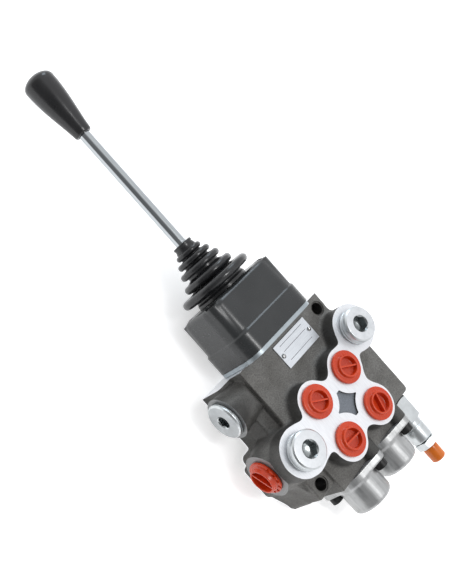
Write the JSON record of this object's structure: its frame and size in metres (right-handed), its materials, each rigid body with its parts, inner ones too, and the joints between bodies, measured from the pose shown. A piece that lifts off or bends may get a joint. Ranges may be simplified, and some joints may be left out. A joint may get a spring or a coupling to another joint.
{
  "type": "hydraulic monoblock valve",
  "caption": "Monoblock hydraulic directional control valve: cast body with side by side spools, joystick lever box with gaiter, spring caps, relief valve and plugged ports.",
  "frame": {"origin": "on the mounting face, under the middle of the four work ports", "axes": "+Z out of the mounting face towards the work ports, +Y along the spools towards the joystick lever, +X towards the relief valve"},
  "size_m": [0.1321, 0.3747, 0.0589],
  "materials": {
    "cast_body": "phosphated casting with machined port faces",
    "die_cast_aluminium": "fine brushed",
    "label_metal": "bright satin, blank",
    "zinc_steel": "bright zinc plate",
    "ground_steel": "ground and polished",
    "black_steel": "black oxide",
    "orange_plastic": "moulded, slightly glossy",
    "black_plastic": "glossy moulded",
    "black_rubber": "semi-gloss moulded rubber",
    "brass": "turned"
  },
  "bodies": {
    "root": {"valve_body": "cast_body", "adapter_plate": "zinc_steel", "joystick_housing": "black_plastic", "spring_cap_left": "die_cast_aluminium", "spring_cap_right": "die_cast_aluminium", "cap_screw_left_upper": "black_steel", "cap_screw_left_lower": "black_steel", "cap_screw_right_upper": "black_steel", "cap_screw_right_lower": "black_steel", "box_screw_lower_left": "black_steel", "box_screw_lower_right": "black_steel", "box_screw_upper_left": "black_steel", "box_screw_upper_right": "black_steel", "plate_screw_lower": "black_steel", "plate_screw_upper": "black_steel", "label_plate": "label_metal", "label_rivet_left": "label_metal", "label_rivet_right": "label_metal", "port_plug_a1": "orange_plastic", "port_plug_b1": "orange_plastic", "port_plug_a2": "orange_plastic", "port_plug_b2": "orange_plastic", "inlet_plug_side": "orange_plastic", "inlet_plug_top": "zinc_steel", "tank_plug_top": "zinc_steel", "tank_plug_side": "zinc_steel", "relief_body": "zinc_steel", "relief_sleeve": "zinc_steel", "relief_lock_nut": "zinc_steel", "relief_tamper_cap": "orange_plastic", "relief_seat": "brass", "relief_spring": "ground_steel", "check_spring": "ground_steel", "centring_spring_left": "ground_steel", "centring_spring_right": "ground_steel", "spring_cup_inner_left": "ground_steel", "spring_cup_inner_right": "ground_steel", "spool_seal_left_lever": "black_rubber", "spool_seal_left_cap": "black_rubber", "spool_seal_right_lever": "black_rubber", "spool_seal_right_cap": "black_rubber", "pivot_post": "ground_steel", "gaiter": "black_rubber"},
    "gimbal": {"gimbal_cross": "ground_steel"},
    "lever": {"rocker": "zinc_steel", "lever_rod": "zinc_steel", "lever_nut": "zinc_steel", "lever_knob": "black_plastic"},
    "spool_left_section": {"spool_left": "ground_steel", "spool_clevis_left": "zinc_steel", "spring_cup_outer_left": "ground_steel", "tail_screw_left": "black_steel"},
    "spool_right_section": {"spool_right": "ground_steel", "spool_clevis_right": "zinc_steel", "spring_cup_outer_right": "ground_steel", "tail_screw_right": "black_steel"},
    "relief_spring_carrier": {"relief_spring_seat": "ground_steel"},
    "relief_screw": {"relief_adjusting_screw": "ground_steel"},
    "relief_cone": {"relief_poppet": "ground_steel"},
    "load_check": {"check_poppet": "ground_steel"}
  },
  "joints": [
    {"name": "gimbal_tilt", "type": "hinge", "parent": "root", "child": "gimbal", "pos_m": [0, 0.084, 0.0395], "axis": [-0.77, 0, -0.638], "range_deg": [-15, 15], "stiffness_Nm_per_rad": 10, "deforming": ["gaiter"]},
    {"name": "lever_tilt", "type": "hinge", "parent": "gimbal", "child": "lever", "pos_m": [0, 0.084, 0.0395], "axis": [0.77, 0, -0.638], "range_deg": [-15, 15], "stiffness_Nm_per_rad": 10, "deforming": ["gaiter"]},
    {"name": "spool_left_travel", "type": "slide", "parent": "root", "child": "spool_left_section", "axis": [0, 1, 0], "range_m": [-0.0059, 0.0059], "deforming": ["centring_spring_left"]},
    {"name": "spool_right_travel", "type": "slide", "parent": "root", "child": "spool_right_section", "axis": [0, 1, 0], "range_m": [-0.0059, 0.0059], "deforming": ["centring_spring_right"]},
    {"name": "relief_adjust_travel", "type": "slide", "parent": "root", "child": "relief_spring_carrier", "axis": [0, 1, 0], "range_m": [-0.0021, 0.0021], "deforming": ["relief_spring"]},
    {"name": "relief_adjust_turn", "type": "hinge", "parent": "relief_spring_carrier", "child": "relief_screw", "pos_m": [0.0462, -0.07, 0.025], "axis": [0, 1, 0], "range_deg": [-720, 720]},
    {"name": "relief_open", "type": "slide", "parent": "root", "child": "relief_cone", "axis": [0, -1, 0], "range_m": [0, 0.002], "stiffness_N_per_m": 2000, "springref_m": -0.001, "deforming": ["relief_spring"]},
    {"name": "load_check_open", "type": "slide", "parent": "root", "child": "load_check", "axis": [1, 0, 0], "range_m": [0, 0.003], "stiffness_N_per_m": 500, "springref_m": -0.001, "deforming": ["check_spring"]}
  ],
  "couplings": [
    {"joint": "spool_right_travel", "follows": "gimbal_tilt", "m_per_rad": -0.022331},
    {"joint": "spool_left_travel", "follows": "lever_tilt", "m_per_rad": 0.022331},
    {"joint": "relief_adjust_travel", "follows": "relief_adjust_turn", "m_per_rad": 0.00015915}
  ]
}
